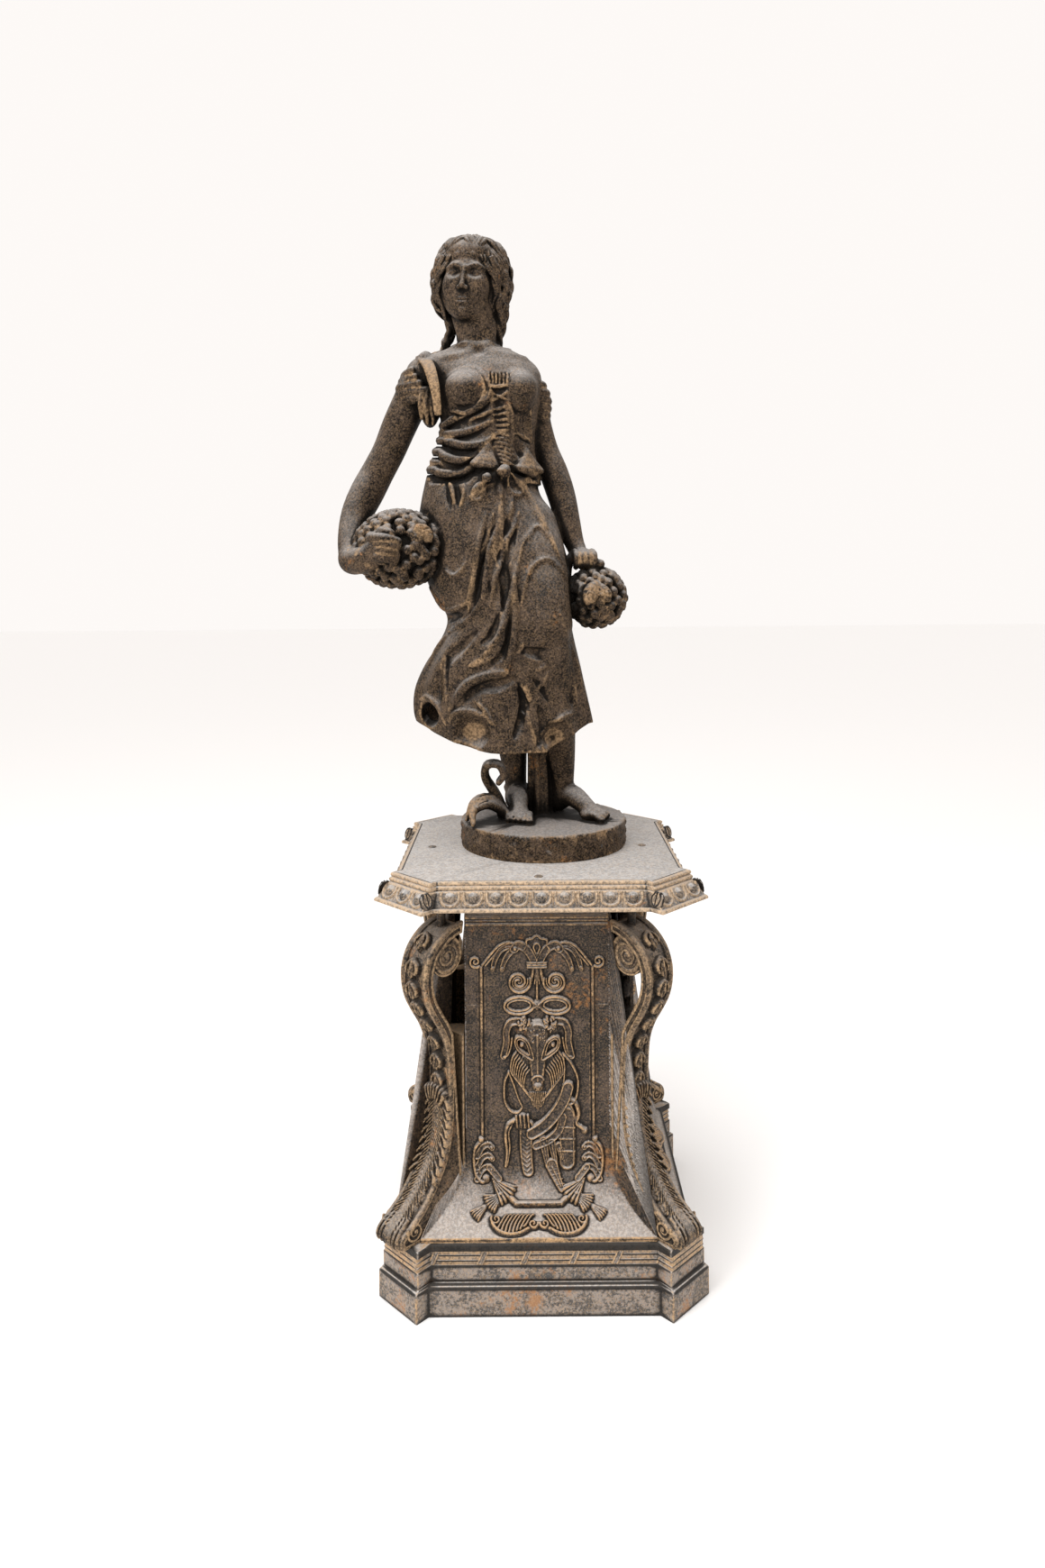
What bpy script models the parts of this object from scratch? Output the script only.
"""Cast iron garden statue: a girl carrying grapes, on a round base, with its scrolled plinth."""

import math

import bmesh
import bpy
import numpy as np
import openvdb
from mathutils import Matrix, Vector

# ---- driving dimensions, in metres ------------------------------------------------------------
JOINT_GAP = 0.0004            # clearance between castings that touch

PLINTH_STEP_TOP = 0.058       # lower step of the plinth
PLINTH_TOP = 0.1262           # upper step of the plinth
PEDESTAL_TOP = 0.7975         # top face of the cap
CAP_LIP = 0.7465              # lower edge of the cap
BASE_TOP = 0.8514             # top of the figure's round base
BASE_CENTRE = (0.009, 0.0175)
BASE_RADIUS = 0.1765

WALL = 0.010                  # thickness of the pedestal's castings
PANEL_FACE = 0.190            # distance of a side panel's face from the pedestal's axis
PANEL_HALF = 0.1405           # half its width
CONSOLE_HALF = 0.038          # half the width of a corner scroll
FLARE_RADIUS = 0.150          # hollow curve of a side panel's foot
FLARE_TOP = 0.270             # height where it starts
PANEL_FOOT = 0.276            # how far the foot reaches from the axis
NECK_FACE = 0.172             # the plain neck under the cap
MOULDING = 0.706              # height of the moulding below the neck
BOLTS = ((-0.226, -0.020), (0.216, -0.020), (-0.005, -0.246), (-0.005, 0.246))
BOLT_SIDES = 8
BOLT_HOLE = 0.0048

CLAY_STEP = 0.0052            # grid that the figure is formed on
FIGURE_FACES = 4000           # triangles left on the figure
FRONT_PANEL_FACES = 1700      # triangles left on the front panel, and on each of the others
OTHER_PANEL_FACES = 860
PANEL_GRID = (80, 150)
FINER_THINNING = 0.85         # share of the thinning that reaches the head
CENTRE_SHIFT = (0.0505, 0.0)  # puts the middle of the whole outline over the origin
BODY_SHIFT = -0.009           # the body stands a little to one side of its plinth and cap


# ---- clay: shapes joined and cut as signed distances --------------------------------------------
class Clay:
    """A block of distances to a surface, negative inside it."""

    def __init__(self, low, high, step):
        self.low = np.array(low, dtype=float)
        self.step = step
        self.count = np.ceil((np.array(high) - self.low) / step).astype(int) + 1
        self.field = np.full(self.count, 1.0, dtype=np.float32)

    def window(self, low, high):
        """The part of the block between two corners, with its grid coordinates."""
        first = np.clip(np.floor((np.array(low) - self.low) / self.step).astype(int), 0, self.count)
        last = np.clip(np.ceil((np.array(high) - self.low) / self.step).astype(int) + 1, 0, self.count)
        part = tuple(slice(a, b) for a, b in zip(first, last))
        axes = [self.low[i] + self.step * np.arange(first[i], last[i]) for i in range(3)]
        return part, [a.astype(np.float32) for a in np.ix_(*axes)]

    def add(self, shape, soft=0.0):
        """Join a shape, with a fillet of about the size soft."""
        low, high, distance = shape
        reach = 2 * self.step + soft
        part, axes = self.window(low - reach, high + reach)
        if 0 in self.field[part].shape:
            return
        self.field[part] = soft_min(self.field[part], distance(*axes), soft)

    def cut(self, shape, soft=0.0):
        """Take a shape away, with its edge rounded by soft."""
        low, high, distance = shape
        reach = 2 * self.step + soft
        part, axes = self.window(low - reach, high + reach)
        if 0 in self.field[part].shape:
            return
        self.field[part] = -soft_min(-self.field[part], distance(*axes), soft)

    def seat(self, points, side=-1):
        """Put points (x, z) on the surface as seen from the front, or from the back with side 1."""
        points = np.array(points, dtype=float)
        found = []
        for x, z in points[:, :2]:
            i, k = (round((v - o) / self.step) for v, o in ((x, self.low[0]), (z, self.low[2])))
            inside = []
            if 0 <= i < self.count[0] and 0 <= k < self.count[2]:
                inside = np.nonzero(self.field[i, :, k] < 0)[0]
            found.append(self.low[1] + self.step * inside[0 if side < 0 else -1]
                         if len(inside) else np.nan)
        depth = np.array(found)
        good = ~np.isnan(depth)
        if not good.any():
            depth[:] = 0.0
        else:
            where = np.arange(len(depth))
            depth = np.interp(where, where[good], depth[good])
        padded = np.pad(depth, 2, mode="edge")
        depth = sum(padded[i:i + len(depth)] for i in range(5)) / 5
        return np.column_stack((points[:, 0], depth, points[:, 1]))

    def fold(self, points, width, rise=0.6, side=-1, count=18):
        """A rounded ridge along (x, z) points laid on the surface, thinning towards its ends."""
        path = self.seat(smooth(points, count), side)
        self.add(self.ridge(path, width, side * width * (rise - 1.0)), width * 0.7)

    def crease(self, points, width, sink=0.6, side=-1, count=18):
        """A rounded valley along (x, z) points laid on the surface."""
        path = self.seat(smooth(points, count), side)
        self.cut(self.ridge(path, width, side * width * (1.0 - sink)), width * 0.5)

    def ridge(self, path, width, offset):
        path = path + np.array((0.0, offset, 0.0))
        along = np.linspace(0, 1, len(path))
        radius = width * (0.3 + 0.7 * np.sin(np.pi * along) ** 0.6)
        return tube(np.column_stack((path, radius)))

    def mesh(self):
        """The surface as points and quads."""
        grid = openvdb.FloatGrid(3 * self.step)
        band = np.clip(self.field, -3 * self.step, 3 * self.step)
        grid.copyFromArray(band)
        points, quads = grid.convertToQuads()
        return points * self.step + self.low, quads


def soft_min(a, b, soft):
    if soft <= 0:
        return np.minimum(a, b)
    near = np.maximum(soft - np.abs(a - b), 0) / soft
    return np.minimum(a, b) - near * near * soft * 0.25


def smooth(points, count):
    """Points along a Catmull-Rom curve through the given rows."""
    rows = np.array(points, dtype=float)
    if len(rows) == 2:
        return rows[0] + (rows[1] - rows[0]) * np.linspace(0, 1, count)[:, None]
    rows = np.vstack((2 * rows[0] - rows[1], rows, 2 * rows[-1] - rows[-2]))
    place = np.linspace(0, len(rows) - 3 - 1e-9, count)
    k = place.astype(int)
    t = (place - k)[:, None]
    a, b, c, d = rows[k], rows[k + 1], rows[k + 2], rows[k + 3]
    return 0.5 * (2 * b + (c - a) * t + (2 * a - 5 * b + 4 * c - d) * t ** 2
                  + (3 * b - a - 3 * c + d) * t ** 3)


def ball(centre, radii, turn=None):
    """An ellipsoid; turn is a rotation that takes its own axes to the world's."""
    centre, radii = np.array(centre, dtype=float), np.array(radii, dtype=float)
    reach = np.full(3, radii.max()) if turn is not None else radii
    axes = np.array(turn if turn is not None else np.identity(3), dtype=float)

    def distance(x, y, z):
        x, y, z = x - centre[0], y - centre[1], z - centre[2]
        if turn is None:
            own = (x, y, z)
        else:
            own = [x * axes[0, i] + y * axes[1, i] + z * axes[2, i] for i in range(3)]
        near = np.sqrt(sum((own[i] / radii[i]) ** 2 for i in range(3)))
        slope = np.sqrt(sum((own[i] / radii[i] ** 2) ** 2 for i in range(3)))
        return near * (near - 1) / np.maximum(slope, 1e-4)

    return centre - reach, centre + reach, distance


def tube(rows):
    """A round bar through rows of x, y, z, radius."""
    rows = np.array(rows, dtype=float)
    low = (rows[:, :3] - rows[:, 3:]).min(axis=0)
    high = (rows[:, :3] + rows[:, 3:]).max(axis=0)

    def distance(x, y, z):
        shape = np.broadcast_shapes(x.shape, y.shape, z.shape)
        best = np.full(shape, 1.0, dtype=np.float32)
        for a, b in zip(rows[:-1], rows[1:]):
            pad = max(a[3], b[3]) + 0.03
            parts = []
            for axis, grid in enumerate((x.ravel(), y.ravel(), z.ravel())):
                first, last = sorted((a[axis], b[axis]))
                parts.append(slice(*np.searchsorted(grid, (first - pad, last + pad))))
            parts = tuple(parts)
            if 0 in best[parts].shape:
                continue
            px, py, pz = (x[parts[0]] - a[0], y[:, parts[1]] - a[1], z[:, :, parts[2]] - a[2])
            step = b[:3] - a[:3]
            size = max(float(step @ step), 1e-12)
            h = np.clip((px * step[0] + py * step[1] + pz * step[2]) / size, 0, 1)
            away = np.sqrt((px - step[0] * h) ** 2 + (py - step[1] * h) ** 2 + (pz - step[2] * h) ** 2)
            best[parts] = np.minimum(best[parts], away - (a[3] + (b[3] - a[3]) * h))
        return best

    return low, high, distance


def bar(points, count=14):
    """A round bar along a smooth curve through a few rows of x, y, z, radius."""
    return tube(smooth(points, count))


def loft(levels, wave=None, foot=None):
    """Oval sections stacked in z. Each level is z, left x, right x, front y, back y.

    wave(angle, z) scales the section; foot(x, y) gives the height where the shape ends below."""
    rows = smooth(levels, 60)
    rows = rows[np.argsort(rows[:, 0])]
    grow = 1.25 if wave else 1.02
    low = np.array((rows[:, 1].min(), rows[:, 3].min(), rows[0, 0])) * (1, grow, 1) - (0.03, 0, 0)
    high = np.array((rows[:, 2].max(), rows[:, 4].max(), rows[-1, 0])) * (1, grow, 1) + (0.03, 0, 0)

    def distance(x, y, z):
        level = z.ravel()
        left, right, front, back = (np.interp(level, rows[:, 0], rows[:, i]).astype(np.float32)
                                    for i in range(1, 5))
        rx, ry = (right - left) / 2, (back - front) / 2
        px, py = x - (left + right) / 2, y - (front + back) / 2
        if wave:
            scale = wave(np.arctan2(px / rx, -py / ry), z)
            rx, ry = rx * scale, ry * scale
        near = np.sqrt((px / rx) ** 2 + (py / ry) ** 2)
        slope = np.sqrt((px / rx ** 2) ** 2 + (py / ry ** 2) ** 2)
        side = near * (near - 1) / np.maximum(slope, 1e-4)
        side = np.maximum(side, z - rows[-1, 0])
        bottom = foot(x, y) if foot else rows[0, 0]
        return np.maximum(side, bottom - z).astype(np.float32)

    return low, high, distance


# ---- the figure ---------------------------------------------------------------------------------
def skirt_hem(x, _):
    """Height of the skirt's hem: lifted at the blown left side and at the right."""
    blown = np.clip((-0.10 - x) / 0.16, 0, 1)
    lifted = np.clip((x - 0.015) / 0.09, 0, 1)
    return 1.006 + 0.055 * blown ** 1.3 + 0.05 * lifted


def skirt_wave(angle, z):
    """Soft flutes that deepen towards the hem."""
    depth = np.clip((1.34 - z) / 0.34, 0, 1)
    flutes = 0.6 * np.cos(9 * angle + 8 * (z - 1.0)) + 0.4 * np.cos(13 * angle + 1.0)
    return (1 + 0.055 * depth * flutes).astype(np.float32)


SKIRT = (
    (1.600, -0.222, -0.002, -0.066, 0.080),
    (1.570, -0.236, 0.006, -0.076, 0.092),
    (1.530, -0.246, 0.020, -0.086, 0.106),
    (1.485, -0.252, 0.036, -0.096, 0.118),
    (1.435, -0.249, 0.051, -0.106, 0.116),
    (1.380, -0.240, 0.060, -0.112, 0.108),
    (1.330, -0.222, 0.065, -0.116, 0.100),
    (1.280, -0.190, 0.069, -0.122, 0.098),
    (1.230, -0.205, 0.078, -0.124, 0.104),
    (1.180, -0.236, 0.089, -0.116, 0.112),
    (1.130, -0.256, 0.098, -0.108, 0.118),
    (1.080, -0.258, 0.107, -0.104, 0.122),
    (1.040, -0.245, 0.113, -0.104, 0.122),
    (0.990, -0.225, 0.115, -0.104, 0.122),
)


def inner(levels, wall):
    """The levels of a loft drawn in by a wall."""
    return [(z, a + wall, b - wall, c + wall, d - wall) for z, a, b, c, d in levels]


def form_legs(clay):
    clay.add(bar([(-0.072, 0.020, 1.20, 0.045), (-0.066, 0.050, 1.09, 0.041),
                  (-0.056, 0.066, 0.99, 0.031), (-0.050, 0.072, 0.915, 0.0245),
                  (-0.047, 0.075, 0.885, 0.026)]), 0.004)
    clay.add(bar([(-0.047, 0.088, 0.874, 0.023), (-0.046, 0.050, 0.884, 0.026),
                  (-0.044, 0.005, 0.874, 0.024), (-0.043, -0.030, 0.864, 0.021)]), 0.012)
    clay.add(ball((-0.043, -0.022, 0.862), (0.031, 0.036, 0.016)), 0.010)
    clay.add(bar([(0.022, -0.060, 1.21, 0.046), (0.036, -0.022, 1.11, 0.041),
                  (0.048, 0.026, 1.00, 0.031), (0.052, 0.050, 0.925, 0.025),
                  (0.048, 0.064, 0.885, 0.025)]), 0.004)
    clay.add(bar([(0.036, 0.086, 0.874, 0.022), (0.062, 0.056, 0.890, 0.026),
                  (0.092, 0.018, 0.878, 0.024), (0.116, -0.016, 0.865, 0.020)]), 0.012)
    clay.add(ball((0.115, -0.012, 0.862), (0.030, 0.036, 0.015), turn_z(0.85)), 0.010)
    for foot, turn, big in (((-0.043, -0.022), 0.0, 1), ((0.115, -0.012), 0.85, -1)):
        spread = np.array((math.cos(turn), math.sin(turn)))
        ahead = np.array((math.sin(turn), -math.cos(turn)))
        for i in range(5):
            across = big * (0.022 - 0.0115 * i)
            out = 0.034 - 0.0042 * i
            root = np.array(foot) + spread * across
            tip = root + ahead * out
            size = 0.0088 if i == 0 else 0.0064
            clay.add(tube([(*root, 0.866, size), (*tip, 0.8595, size)]), 0.002)


def turn_z(angle):
    return Matrix.Rotation(angle, 3, "Z")


TORSO = (
    (1.560, -0.236, 0.010, -0.078, 0.090),
    (1.590, -0.232, 0.006, -0.076, 0.086),
    (1.625, -0.220, -0.002, -0.070, 0.078),
    (1.665, -0.206, -0.003, -0.070, 0.074),
    (1.700, -0.203, 0.002, -0.076, 0.076),
    (1.740, -0.207, 0.010, -0.080, 0.082),
    (1.775, -0.214, 0.012, -0.074, 0.086),
    (1.805, -0.214, 0.004, -0.060, 0.084),
    (1.830, -0.196, -0.020, -0.044, 0.078),
    (1.850, -0.166, -0.056, -0.030, 0.068),
)


def form_torso(clay):
    clay.add(loft(TORSO), 0.006)
    clay.add(bar([(-0.060, 0.030, 1.822, 0.034), (-0.010, 0.024, 1.795, 0.040)]), 0.03)
    clay.add(bar([(-0.160, 0.020, 1.838, 0.032), (-0.222, 0.012, 1.806, 0.042)]), 0.03)
    clay.add(bar([(-0.121, 0.030, 1.82, 0.046), (-0.124, 0.014, 1.87, 0.040),
                  (-0.130, 0.004, 1.93, 0.041)]), 0.02)
    clay.add(ball((-0.148, -0.050, 1.752), (0.043, 0.050, 0.042)), 0.018)
    clay.add(ball((-0.034, -0.046, 1.750), (0.037, 0.048, 0.044)), 0.018)


def form_arms(clay):
    clay.add(bar([(-0.236, 0.012, 1.800, 0.040), (-0.262, 0.022, 1.740, 0.041),
                  (-0.292, 0.034, 1.665, 0.041), (-0.330, 0.036, 1.585, 0.038),
                  (-0.362, 0.026, 1.525, 0.038), (-0.390, 0.000, 1.470, 0.033),
                  (-0.391, -0.034, 1.415, 0.028), (-0.378, -0.058, 1.395, 0.026)], 26), 0.008)
    clay.add(bar([(-0.384, -0.050, 1.400, 0.027), (-0.352, -0.092, 1.402, 0.029),
                  (-0.318, -0.112, 1.420, 0.024)]), 0.010)
    clay.add(bar([(0.000, 0.030, 1.785, 0.040), (0.014, 0.036, 1.72, 0.034),
                  (0.024, 0.040, 1.66, 0.031), (0.044, 0.036, 1.585, 0.032),
                  (0.062, 0.022, 1.52, 0.028), (0.076, 0.004, 1.46, 0.022),
                  (0.086, -0.008, 1.42, 0.019)], 26), 0.008)


def form_sleeves(clay):
    for points, size in (
            (((-0.262, -0.024, 1.800), (-0.276, 0.006, 1.792), (-0.262, 0.050, 1.802)), 0.016),
            (((-0.246, -0.030, 1.774), (-0.281, -0.008, 1.772), (-0.286, 0.040, 1.770)), 0.016),
            (((-0.222, -0.028, 1.752), (-0.268, -0.022, 1.748), (-0.288, 0.030, 1.744)), 0.015),
            (((0.006, -0.006, 1.772), (0.022, 0.016, 1.760), (0.022, 0.056, 1.766)), 0.014),
            (((0.006, 0.000, 1.748), (0.024, 0.016, 1.730), (0.026, 0.062, 1.738)), 0.014),
            (((0.002, 0.004, 1.722), (0.026, 0.016, 1.702), (0.026, 0.066, 1.712)), 0.013)):
        clay.add(bar([(*p, size * s) for p, s in zip(points, (0.7, 1.0, 0.8))]), 0.008)


HEAD = (-0.133, 0.004, 1.995)     # middle of the head
FACE_TURN = Matrix.Rotation(math.radians(-4), 3, "Z") @ Matrix.Rotation(math.radians(4), 3, "Y")


def on_head(x, y, z):
    """A place given from the middle of the head: to the viewer's right, back, up."""
    return tuple(Vector(HEAD) + FACE_TURN @ Vector((x, y, z)))


def form_head(clay):
    clay.add(ball(on_head(0, 0.012, 0.016), (0.058, 0.074, 0.066), FACE_TURN), 0.0)
    clay.add(ball(on_head(0, -0.020, -0.020), (0.049, 0.052, 0.066), FACE_TURN), 0.014)
    clay.add(ball(on_head(0, -0.042, -0.068), (0.021, 0.020, 0.018), FACE_TURN), 0.020)
    clay.add(tube([(*on_head(0, -0.068, 0.004), 0.0050), (*on_head(0, -0.080, -0.030), 0.0075)]), 0.008)
    for side in (-1, 1):
        clay.cut(ball(on_head(side * 0.022, -0.078, 0.001), (0.014, 0.012, 0.009), FACE_TURN), 0.008)
        clay.add(ball(on_head(side * 0.022, -0.060, 0.000), (0.011, 0.010, 0.008), FACE_TURN), 0.002)
    clay.add(ball(on_head(0, -0.066, -0.046), (0.014, 0.010, 0.006), FACE_TURN), 0.003)
    # hair: a cap, a curled fringe, wavy locks over the ears and tresses behind the neck
    clay.add(ball(on_head(0, 0.022, 0.032), (0.075, 0.078, 0.070), FACE_TURN), 0.004)
    for i in range(5):
        x = -0.048 + 0.024 * i
        place = on_head(x, -0.050 + 5 * x * x, 0.057 - 4 * x * x)
        clay.add(ball(place, (0.015, 0.018, 0.013), FACE_TURN), 0.004)
    for side in (-1, 1):
        for back in range(HAIR_LOCKS):
            y = 0.034 * back
            lock = [on_head(side * (0.010 + 0.004 * back), y - 0.036, 0.076 + 0.006 * back),
                    on_head(side * 0.046, y - 0.030, 0.066), on_head(side * 0.068, y - 0.020, 0.030),
                    on_head(side * 0.073, y - 0.008, -0.012), on_head(side * 0.066, 0.6 * y + 0.006, -0.050)]
            sizes = (0.010, 0.014, 0.0135, 0.0135, 0.011)
            clay.add(bar([(*place, size) for place, size in zip(lock, sizes)]), 0.003)
        clay.add(bar([(*on_head(side * 0.066, 0.004, -0.030), 0.020),
                      (*on_head(side * 0.056, 0.026, -0.070), 0.020),
                      (*on_head(side * 0.046, 0.048, -0.105), 0.017)]), 0.006)
    clay.add(bar([(*on_head(0.058, 0.030, -0.060), 0.022), (*on_head(0.064, 0.040, -0.100), 0.018),
                  (*on_head(0.052, 0.050, -0.140), 0.012)]), 0.006)
    clay.add(bar([(*on_head(-0.040, 0.040, -0.080), 0.018), (*on_head(-0.048, 0.040, -0.130), 0.014),
                  (*on_head(-0.060, 0.034, -0.160), 0.010)]), 0.006)
    clay.add(bar([(*on_head(0, 0.060, 0.0), 0.056), (*on_head(0, 0.066, -0.070), 0.044),
                  (*on_head(0.004, 0.070, -0.150), 0.030), (*on_head(0.01, 0.078, -0.200), 0.014)]), 0.014)


HAIR_LOCKS = 3                # wavy locks on each side of the parting

# Folds of the dress as seen from the front: radius, then places (x, z) along each.
RIDGES = (
    (0.009, (-0.195, 1.682), (-0.153, 1.698), (-0.110, 1.716), (-0.059, 1.738)),
    (0.008, (-0.157, 1.662), (-0.123, 1.677), (-0.087, 1.689), (-0.053, 1.681)),
    (0.010, (-0.218, 1.634), (-0.195, 1.616), (-0.170, 1.610), (-0.141, 1.614), (-0.104, 1.634)),
    (0.009, (-0.232, 1.616), (-0.205, 1.601), (-0.187, 1.590)),
    (0.009, (-0.172, 1.578), (-0.149, 1.586), (-0.128, 1.607), (-0.106, 1.628)),
    (0.009, (-0.238, 1.584), (-0.200, 1.584), (-0.160, 1.597), (-0.110, 1.600), (-0.060, 1.604),
     (-0.028, 1.590)),
    (0.011, (-0.038, 1.622), (-0.012, 1.606), (0.010, 1.584)),
    (0.008, (-0.238, 1.826), (-0.213, 1.775), (-0.205, 1.726)),
    (0.010, (-0.106, 1.490), (-0.116, 1.450), (-0.130, 1.365), (-0.141, 1.295)),
    (0.011, (-0.078, 1.508), (-0.082, 1.465), (-0.100, 1.405), (-0.112, 1.318), (-0.145, 1.276),
     (-0.187, 1.251)),
    (0.010, (-0.038, 1.499), (-0.067, 1.434), (-0.082, 1.364), (-0.088, 1.300)),
    (0.009, (-0.062, 1.330), (-0.066, 1.292), (-0.082, 1.250), (-0.110, 1.210), (-0.142, 1.184)),
    (0.011, (-0.030, 1.434), (-0.044, 1.380), (-0.046, 1.300), (-0.050, 1.240), (-0.070, 1.166)),
    (0.013, (-0.064, 1.170), (-0.118, 1.161), (-0.160, 1.131), (-0.184, 1.092)),
    (0.007, (-0.030, 1.434), (-0.001, 1.468), (0.035, 1.426), (0.049, 1.380)),
    (0.007, (0.049, 1.377), (0.014, 1.400), (-0.010, 1.385), (-0.024, 1.355), (-0.036, 1.294)),
    (0.009, (-0.226, 1.345), (-0.207, 1.314), (-0.182, 1.299), (-0.146, 1.312), (-0.134, 1.360)),
    (0.007, (-0.009, 1.174), (0.006, 1.180), (0.024, 1.194)),
    (0.008, (0.030, 1.190), (0.011, 1.155), (-0.006, 1.130)),
    (0.008, (0.053, 1.221), (0.067, 1.171), (0.078, 1.087)),
    (0.008, (-0.037, 1.095), (-0.022, 1.060), (-0.010, 1.022)),
    (0.009, (0.078, 1.086), (0.046, 1.075), (0.020, 1.052), (0.002, 1.040)),
    (0.008, (-0.250, 1.106), (-0.230, 1.116), (-0.208, 1.100), (-0.190, 1.062)),
    (0.008, (-0.184, 1.070), (-0.170, 1.088), (-0.140, 1.092), (-0.110, 1.083), (-0.088, 1.062)),
)
VALLEYS = (
    (0.007, (-0.197, 1.670), (-0.165, 1.684), (-0.130, 1.696), (-0.089, 1.700)),
    (0.008, (-0.200, 1.640), (-0.180, 1.624), (-0.155, 1.622), (-0.126, 1.633), (-0.098, 1.647)),
    (0.006, (-0.212, 1.613), (-0.183, 1.600), (-0.153, 1.600), (-0.130, 1.618)),
    (0.010, (-0.232, 1.568), (-0.190, 1.568), (-0.150, 1.580), (-0.100, 1.584), (-0.050, 1.584),
     (0.000, 1.572)),
    (0.009, (-0.092, 1.470), (-0.107, 1.420), (-0.118, 1.350), (-0.128, 1.300)),
    (0.012, (-0.056, 1.490), (-0.072, 1.420), (-0.066, 1.350), (-0.068, 1.290)),
    (0.010, (-0.212, 1.292), (-0.188, 1.280), (-0.155, 1.288)),
    (0.012, (-0.125, 1.256), (-0.158, 1.222), (-0.190, 1.190), (-0.192, 1.120)),
    (0.010, (-0.052, 1.280), (-0.064, 1.220), (-0.095, 1.186)),
    (0.013, (-0.045, 1.160), (-0.080, 1.146), (-0.120, 1.140), (-0.150, 1.112)),
    (0.014, (-0.035, 1.216), (0.010, 1.208), (0.048, 1.218)),
    (0.010, (-0.040, 1.150), (-0.030, 1.100), (-0.050, 1.040)),
    (0.010, (0.000, 1.100), (0.010, 1.060), (-0.002, 1.020)),
)
MOUTHS = (                    # hollow ends of the blown folds: centre and radii
    ((-0.227, -0.050, 1.080), (0.024, 0.050, 0.028)),
    ((-0.140, -0.082, 1.050), (0.042, 0.060, 0.034)),
    ((0.045, -0.090, 1.038), (0.038, 0.060, 0.032)),
)


def form_dress(clay):
    """Everything that lies on the dress: thigh, folds, sash and the open ends of the hem."""
    for radius, *places in VALLEYS:
        clay.crease(places, radius, 0.75)
    for radius, *places in RIDGES:
        clay.fold(places, radius)
    for i in range(7):
        x = -0.17 + 0.035 * i
        clay.fold([(x, 1.540), (x - 0.01, 1.350), (x * 1.25 + 0.01, 1.080)], 0.010, side=1)
    for centre, radii in MOUTHS:
        clay.cut(ball(centre, radii), 0.006)
    # sash: knot, two loops, ring and tail
    clay.add(ball((-0.103, -0.096, 1.566), (0.021, 0.015, 0.015)), 0.003)
    clay.fold([(-0.136, 1.552), (-0.120, 1.536), (-0.104, 1.524)], 0.012)
    clay.add(ball((-0.066, -0.102, 1.579), (0.014, 0.014, 0.015)), 0.003)
    clay.fold([(-0.060, 1.578), (-0.046, 1.562), (-0.029, 1.538), (-0.001, 1.499), (0.014, 1.455)], 0.010)
    clay.fold([(-0.055, 1.565), (-0.058, 1.545), (-0.046, 1.532), (-0.032, 1.540)], 0.006)


def form_grapes(clay, centre, radii, berry, seed):
    """A heaped bunch: berries spread evenly over an oval."""
    centre, radii = np.array(centre), np.array(radii)
    clay.add(ball(centre, radii - berry * 0.6), 0.0)
    count = int(4.0 * float(np.mean(radii)) ** 2 / berry ** 2)
    jitter = np.random.default_rng(seed)
    for i in range(count):
        z = 1 - 2 * (i + 0.5) / count
        angle = i * math.pi * (3 - math.sqrt(5)) + jitter.uniform(-0.2, 0.2)
        ring = math.sqrt(1 - z * z)
        place = centre + (radii - berry * 0.35) * (ring * math.cos(angle), ring * math.sin(angle), z)
        clay.add(ball(place, np.full(3, berry * jitter.uniform(0.9, 1.1))), 0.0015)


def form_hands(clay):
    """Fingers that hold the bunch on one side and close over the handle on the other."""
    for i in range(4):
        x, z = -0.336 + 0.013 * i, 1.408 + 0.006 * i
        clay.add(bar([(x, -0.112, z + 0.010, 0.010), (x + 0.010, -0.134, z + 0.006, 0.0092),
                      (x + 0.016, -0.134, z - 0.012, 0.0080)]), 0.002)
    clay.add(bar([(-0.330, -0.094, 1.428, 0.011), (-0.312, -0.112, 1.446, 0.009)]), 0.003)
    clay.add(ball((0.094, -0.024, 1.402), (0.024, 0.024, 0.019)), 0.008)
    for i in range(4):
        x = 0.084 + 0.0125 * i
        clay.add(bar([(x, -0.034, 1.414, 0.0082), (x + 0.003, -0.054, 1.404, 0.0080),
                      (x + 0.003, -0.052, 1.386, 0.0070)]), 0.002)


def form_base_leaves(clay):
    """A curled leaf, a low leaf and the ribbed support that carry the weight of the dress."""
    clay.add(bar([(-0.078, 0.010, 0.860, 0.014), (-0.086, -0.014, 0.920, 0.017),
                  (-0.098, -0.040, 0.966, 0.015), (-0.116, -0.052, 0.956, 0.013),
                  (-0.110, -0.058, 0.924, 0.010)]), 0.006)
    clay.add(bar([(-0.076, -0.010, 0.866, 0.013), (-0.112, -0.040, 0.898, 0.013),
                  (-0.142, -0.056, 0.884, 0.011), (-0.150, -0.060, 0.862, 0.008)]), 0.006)
    clay.add(bar([(-0.072, -0.034, 0.866, 0.010), (-0.104, -0.058, 0.878, 0.010),
                  (-0.128, -0.070, 0.860, 0.008)]), 0.004)
    clay.add(tube([(0.002, 0.052, 0.850, 0.026), (0.000, 0.046, 1.060, 0.024)]), 0.006)
    for i in range(5):
        h = 0.876 + 0.03 * i
        clay.add(tube([(-0.018, 0.030, h, 0.008), (0.022, 0.030, h + 0.008, 0.008)]), 0.003)


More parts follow.
